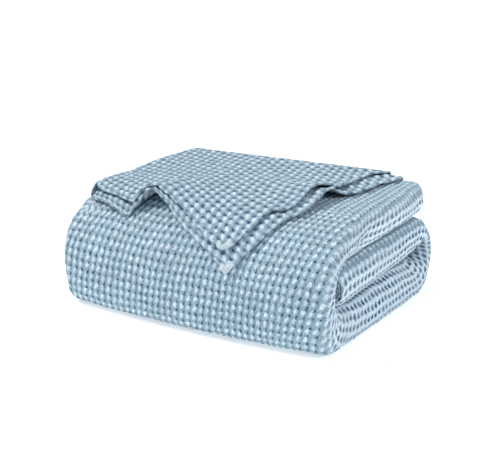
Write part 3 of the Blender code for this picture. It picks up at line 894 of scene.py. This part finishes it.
def inner_layer(name, levels, offset, start_x):
    """A coarse sheet through the given levels, from start_x to its hem at the left."""
    run_at = places(*INNER_RUN, INNER_STEP)
    flats = [INNER_FLAT] * len(levels)
    flats[0] = np.concatenate([INNER_HEM, INNER_FLAT[2:]])
    flats[-1] = 1.0 - flats[0][::-1]
    points = layer_points(run_at, INNER_ROOM, levels=levels, at_right=True, offset=offset,
                          ends=(start_x, HEM_X), shift=INNER_SHIFT, flats=flats,
                          turns=INNER_TURNS) + TO_FRAME
    across_at = lengths_along(points[len(points) // 2])
    along, across = np.meshgrid(run_at, across_at, indexing="ij")
    full = np.outer(*[rim_fullness(np.minimum(at - at[0], at[-1] - at))
                      for at in (run_at, across_at)])
    half = grid_normals(points) * (full * INNER_PLY / 2)[..., None]
    marks = {"pitted": 1.0 + 0 * across}
    maps = {"flat cloth": (across, along),
            "cells": drifted(across / CELL, along / CELL, across, along)}
    return closed_sheet(name, points + half, points - half, marks, maps, cotton)


inner = [inner_layer("inner_layer_same_face", WAY[2:], PLY_OFFSET, START_X),
         inner_layer("inner_layer_other_face", WAY, -PLY_OFFSET, HEM_X)]

# %% [markdown]
# ## The corner laid back over the bundle
#
# At the back of the bundle the topmost doubled layer turns up and forwards, and its two sheets
# part: the lower one reaches further, and both end in a hem at the front and at the side, with
# the corner of the blanket between them. The hems are drawn as short tables of places on the
# bundle's face and heights above it. A sheet is then spread between its two hems, and the waves
# of the hems die away into it, as they do in soft cloth.

# %% The hems, as tables
# across: X. down: length from the back edge over the top and down the front. lift: height of
# the hem above the bundle. All in millimetres, from the corner of the blanket outwards.
LOWER_FRONT_HEM = (
    (68, 328, 2.4), (42, 309, 2.4), (6, 289, 3), (-17, 276, 5), (-36, 263, 9),
    (-55, 252, 15), (-70, 247, 20), (-82, 246, 22), (-92, 256, 15), (-98, 267, 7),
    (-104, 279, 2.4), (-119, 274, 3), (-145, 265, 6), (-168, 260, 5), (-186, 254, 3),
)
LOWER_SIDE_HEM = (
    (68, 328, 2.4), (76, 316, 2.4), (91, 295, 2.4), (101, 275, 2.4), (111, 246, 3),
    (122, 231, 4), (129, 214, 7), (129, 186, 11), (127, 163, 15), (128, 146, 12),
    (136, 135, 5), (142, 118, 3), (145, 90, 3), (146, 55, 3), (152, 30, 2.4),
    (154, 0, 2.4),
)
UPPER_FRONT_HEM = (
    (58, 301, 6.4), (39, 294, 6.4), (15, 281, 7), (-10, 265, 9), (-33, 253, 13),
    (-52, 246, 19), (-66, 242, 24), (-77, 241, 26), (-87, 249, 22), (-93, 256, 17),
    (-100, 262, 12), (-122, 256, 10), (-145, 250, 10), (-171, 247, 14), (-185, 236, 16),
)
UPPER_SIDE_HEM = (
    (58, 301, 6.4), (67, 296, 6.4), (77, 281, 6.4), (83, 263, 6.4), (87, 243, 7),
    (93, 234, 8), (105, 230, 8), (112, 218, 9.5), (112, 196, 13), (109, 172, 18),
    (114, 156, 20), (123, 132, 13), (120, 105, 9), (118, 70, 7.5), (118, 22, 6.5),
    (134, 0, 6.4),
)


def hem_curve(table, shares):
    """Smooth points of a hem, by shares of its length, in metres."""
    points = np.array(table) / 1000.0
    lengths = lengths_along(points)
    place = shares * lengths[-1]
    i = np.clip(np.searchsorted(lengths, place) - 1, 0, len(points) - 2)
    t = ((place - lengths[i]) / (lengths[i + 1] - lengths[i]))[:, None]
    start, end = points[i], points[i + 1]
    leave = (end - points[np.maximum(i - 1, 0)]) / 2
    arrive = (points[np.minimum(i + 2, len(points) - 1)] - start) / 2
    return (start * (2 * t**3 - 3 * t**2 + 1) + leave * (t**3 - 2 * t**2 + t)
            + end * (3 * t**2 - 2 * t**3) + arrive * (t**3 - t**2))


for hem in (LOWER_FRONT_HEM, LOWER_SIDE_HEM, UPPER_FRONT_HEM, UPPER_SIDE_HEM):
    print("length of a hem, mm:", round(lengths_along(hem)[-1]))

# %% Spreading a sheet between its hems
LEFT_SIDE = -0.192
LOWER_LIFT = 0.0024  # height of each sheet's middle where it lies flat on the bundle
UPPER_LIFT = 0.0064
FADE = 4.5  # how quickly a wave of the hem dies away into the sheet
SHEET_SIZE = (0.335, 0.310)  # of each sheet's flat cloth, from its hems
PUCKER_REACH = 0.008
PUCKER_LIFT = 0.8
PUCKER_SLANT = 9.0  # how a pucker's phase moves for each metre in from the hem
PUCKERS = ((0.0131, 0.0007, 0.3), (0.0083, 0.0004, 1.9), (0.0310, 0.0010, 4.1))


def spread_between(front_hem, side_hem, flat_lift, shares):
    """(across, down, lift) over a sheet, at shares of its way to the side and the front hem."""
    front = hem_curve(front_hem, 1.0 - shares)[None, :, :]
    side = hem_curve(side_hem, 1.0 - shares)[:, None, :]
    a = shares[None, :, None]
    b = shares[:, None, None]
    tip, left_end, back_end = np.array((front_hem[0], front_hem[-1], side_hem[-1])) / 1000.0
    back_left = np.array((LEFT_SIDE, 0.0, flat_lift))
    back = back_left * (1 - a) + back_end * a
    left = back_left * (1 - b) + left_end * b
    corners = (back_left * (1 - a) * (1 - b) + back_end * a * (1 - b)
               + left_end * (1 - a) * b + tip * a * b)
    place = back * (1 - b) + front * b + left * (1 - a) + side * a - corners
    wave = ((front - flat_lift) * b**FADE * (1 - a**FADE) + (side - flat_lift) * a**FADE)[..., 2]
    place[..., 2] = flat_lift + wave
    return place


def from_hems(shares):
    """Distances on the flat cloth from the side hem and from the front hem."""
    return np.meshgrid(SHEET_SIZE[0] * (1.0 - shares), SHEET_SIZE[1] * (1.0 - shares))


def pucker(place, shares):
    """Small ripples where the stitches of the hems have drawn the cloth up."""
    from_side, from_front = from_hems(shares)
    for along_hem, from_hem, inwards in ((from_side, from_front, 1), (from_front, from_side, 0)):
        near = np.exp(-(from_hem / PUCKER_REACH)**2)
        for length, size, phase in PUCKERS:
            turned = 2 * np.pi * along_hem / length + phase + PUCKER_SLANT * place[..., inwards]
            ripple = size * np.sin(turned)
            place[..., inwards] += near * ripple
            place[..., 2] += near * ripple * PUCKER_LIFT
    return place


print("puckers of the hems, mm apart:", [1000 * length for length, _, _ in PUCKERS])

# %% The upper sheet rests on the lower one
SHEET_LENGTH = 0.30  # about, to say how many points a sheet has
SHEET_STEP = 0.0020
SHEET_CLEARANCE = 0.0046  # between the middles of the two sheets
REST_ROUNDS = 8
REST_WITHIN = 0.00005


def rest_on(upper, lower):
    """Raise each place of the upper sheet until it is clear of the lower one."""
    numbers = np.arange(lower[..., 0].size).reshape(lower.shape[:2])
    under = BVHTree.FromPolygons(lower.reshape(-1, 3).tolist(), grid_quads(numbers, False))
    for row in upper:
        for place in row:
            for _ in range(REST_ROUNDS):
                short = SHEET_CLEARANCE - under.find_nearest(Vector(place))[3]
                if short < REST_WITHIN:
                    break
                place[2] += short
    return upper


shares = places(0.0, SHEET_LENGTH, SHEET_STEP, False, True) / SHEET_LENGTH
lower_place, upper_place = [
    pucker(spread_between(front_hem, side_hem, lift, shares), shares)
    for front_hem, side_hem, lift in ((LOWER_FRONT_HEM, LOWER_SIDE_HEM, LOWER_LIFT),
                                      (UPPER_FRONT_HEM, UPPER_SIDE_HEM, UPPER_LIFT))]
upper_place = rest_on(upper_place, lower_place)
print("highest wave of the upper sheet, mm:", round(1000 * upper_place[..., 2].max()))

# %% Laying the sheets on the bundle
GIVE_FROM = 0.050  # y from where the top follows the front's give more and more,
GIVE_FULL = -0.027  # and from where it follows it fully
SLOPE_STEP = 0.002
LOWER_TUCK = 0.0019  # depth of each sheet's middle where it comes out of the top layer
UPPER_TUCK = 0.0044
BACK_ROLL = 1.25  # reach of the turn at the back edge, as a share of its height
BACK_TURN_LENGTH = 0.015
TURN_ROWS = 9
LEFT_FOLD_REACH = 0.0050
LEFT_FOLD_COLUMNS = 7
# What a sheet's grid holds at each point after x, y and z.
LIFT, DOWN, FROM_SIDE, FROM_FRONT = 3, 4, 5, 6


def outer_face(length):
    """y and z of the bundle's outer face, at lengths along the run."""
    return np.stack([np.interp(length, RUN[-1], RUN[k]) for k in (2, 3)])


def over_bundle(place):
    """Points in space of (across, down, lift) over the bundle's outer face."""
    x, down, lift = place[..., 0], place[..., 1], place[..., 2]
    y, z = outer_face(RUN_LENGTH - down)
    run = (outer_face(RUN_LENGTH - down - SLOPE_STEP)
           - outer_face(RUN_LENGTH - np.maximum(down - SLOPE_STEP, 0.0)))
    run = run / np.linalg.norm(run, axis=0)
    forward = np.clip((GIVE_FROM - y) / (GIVE_FROM - GIVE_FULL), 0.0, 1.0)
    bow, sink = front_give(x, z)
    return np.stack([x, y + lift * run[1] - bow * forward, z - lift * run[0] - sink * forward],
                    axis=-1)


def sums_to_end(steps, axis):
    """The steps of a grid along an axis, summed from each of them to the last."""
    return np.flip(np.cumsum(np.flip(steps, axis), axis), axis)


def with_back_turn(sheet, tucked):
    """The sheet with rows added for its turn at the back edge, out of the top layer."""
    turn = np.linspace(1.0, 0.0, TURN_ROWS + 1)[:-1, None]
    radius = sheet[:1, :, LIFT] * (1.0 - turn) + tucked * turn
    added = np.repeat(sheet[:1], TURN_ROWS, axis=0)
    added[..., 1] = TOP_END_Y + BACK_ROLL * radius * np.sin(np.pi * turn)
    added[..., 2] = HEIGHT + radius * np.cos(np.pi * turn)
    added[..., DOWN] -= BACK_TURN_LENGTH * turn
    joined = np.concatenate([added, sheet])
    steps = np.linalg.norm(np.diff(joined[:TURN_ROWS + 1, :, :3], axis=0), axis=2)
    joined[:TURN_ROWS, :, FROM_FRONT] += sums_to_end(steps, 0)
    return joined


def with_left_fold(sheet, other):
    """The sheet with columns added for the fold from the other sheet's left side to its own."""
    angles = np.linspace(0.0, np.pi, LEFT_FOLD_COLUMNS + 2)[1:-1, None]
    middle = (sheet[:, :1, :3] + other[:, :1]) / 2
    arm = (sheet[:, :1, :3] - other[:, :1]) / 2
    bulge = np.array((-LEFT_FOLD_REACH, 0.0, 0.0))
    added = np.repeat(sheet[:, :1], LEFT_FOLD_COLUMNS, axis=1)
    added[..., :3] = middle - arm * np.cos(angles) + bulge * np.sin(angles)
    joined = np.concatenate([added, sheet], axis=1)
    steps = np.linalg.norm(np.diff(joined[:, :LEFT_FOLD_COLUMNS + 1, :3], axis=1), axis=2)
    joined[:, :LEFT_FOLD_COLUMNS, FROM_SIDE] += sums_to_end(steps, 1)
    return joined


print("top of the back edge, mm:", np.round(1000 * outer_face(RUN_LENGTH), 1))

# %% [markdown]
# The hems lie aslant of the bundle, and the cloth between them and the folds gives. So the rows
# of cells run along the front hem and bend with it, and its two sheets share one pattern.

# %% Both sheets
SHEET_HALF = 0.00125  # half a sheet's thickness, halfway up its nubs
NUB_RELIEF = 0.0018  # from the tops of the nubs to the bottoms of the pits on each face
MID_HEIGHT = 0.55  # the hem presses the weave towards this height
CORNER = 0.0135  # side of the small square of folded hem at the corner
PRESSED_HEM = (0.0015, 0.30, 0.20)  # length it starts over, share flattened, paleness
PRESSED_CORNER = (0.0012, 0.60)  # the same of the corner
HEM_LINE = 0.0009  # half width of the groove that the stitches pull in
GROOVE_DEPTH = 0.0005
HEM_SWELL = 0.0003  # how far the folded hem stands out, and the corner
CORNER_SWELL = 0.0005


def build_sheet(name, place, tucked, left_fold=None):
    """One sheet of the corner, from the grid of its places over the bundle."""
    sheet = np.dstack([over_bundle(place), place[..., 2], place[..., 1], *from_hems(shares)])
    sheet = with_back_turn(sheet, tucked)
    if left_fold is not None:
        sheet = with_left_fold(sheet, left_fold)
    centre = sheet[..., :3]
    lift, down, from_side, from_front = np.moveaxis(sheet[..., LIFT:], -1, 0)
    from_hem = np.minimum(from_side, from_front)
    in_hem = np.clip((HEM - from_hem) / PRESSED_HEM[0], 0.0, 1.0)
    in_corner = (CORNER - np.maximum(from_side, from_front)) / PRESSED_CORNER[0]
    in_corner = np.clip(in_corner, 0.0, 1.0)
    groove = np.exp(-((from_hem - HEM) / HEM_LINE)**2) * (1 - in_corner)
    stitched = GROOVE_DEPTH * groove - HEM_SWELL * in_hem - CORNER_SWELL * in_corner
    flattened = 1.0 - PRESSED_HEM[1] * in_hem - PRESSED_CORNER[1] * in_corner
    # The pattern is measured along the cloth from its side hem, up and down its waves.
    sideways = np.hypot(np.diff(centre[..., 0], axis=1), np.diff(lift, axis=1))
    crossed = np.concatenate([sums_to_end(sideways, 1), 0.0 * centre[:, :1, 0]], axis=1)
    p, q = corner_cells(centre[:, -1:, 0] - crossed, down)
    heights = []
    for side, moved in ((NUBBED_SIDE, 0.0), (PITTED_SIDE, 0.5)):
        height = MID_HEIGHT + (weave_height(side, p + moved, q + moved) - MID_HEIGHT) * flattened
        height = (SHEET_HALF + NUB_RELIEF * (height - 0.5) - stitched) * rim_fullness(from_hem)
        heights.append(height[..., None])
    # Across runs towards +X and down towards the front, so the normals point down.
    normals = -grid_normals(centre)
    face = centre + normals * heights[0] + TO_FRAME
    back = centre - normals * heights[1] + TO_FRAME
    # Read from right to left, the quads of both grids face outwards.
    face, back, from_side, from_front, p, q, in_hem, in_corner = [
        grid[:, ::-1] for grid in (face, back, from_side, from_front, p, q, in_hem, in_corner)]
    marks = {"flatness": PRESSED_HEM[2] * in_hem, "corner square": in_corner}
    maps = {"flat cloth": (from_side, from_front), "cells": (p, q)}
    return closed_sheet(name, face, back, marks, maps, cotton), centre


lower_sheet, lower_centre = build_sheet("corner_lower_sheet", lower_place, LOWER_TUCK)
upper_sheet, _ = build_sheet("corner_upper_sheet", upper_place, UPPER_TUCK, lower_centre)

# %% [markdown]
# ## Handing the pieces over
#
# Every piece rides on the one body, is made of the cotton, and stands for the imported solid,
# which is hidden.

# %% Riding and replacing
pieces = [*outer, *inner, lower_sheet, upper_sheet]
for piece in pieces:
    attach(piece, "root")
    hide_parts("blanket")
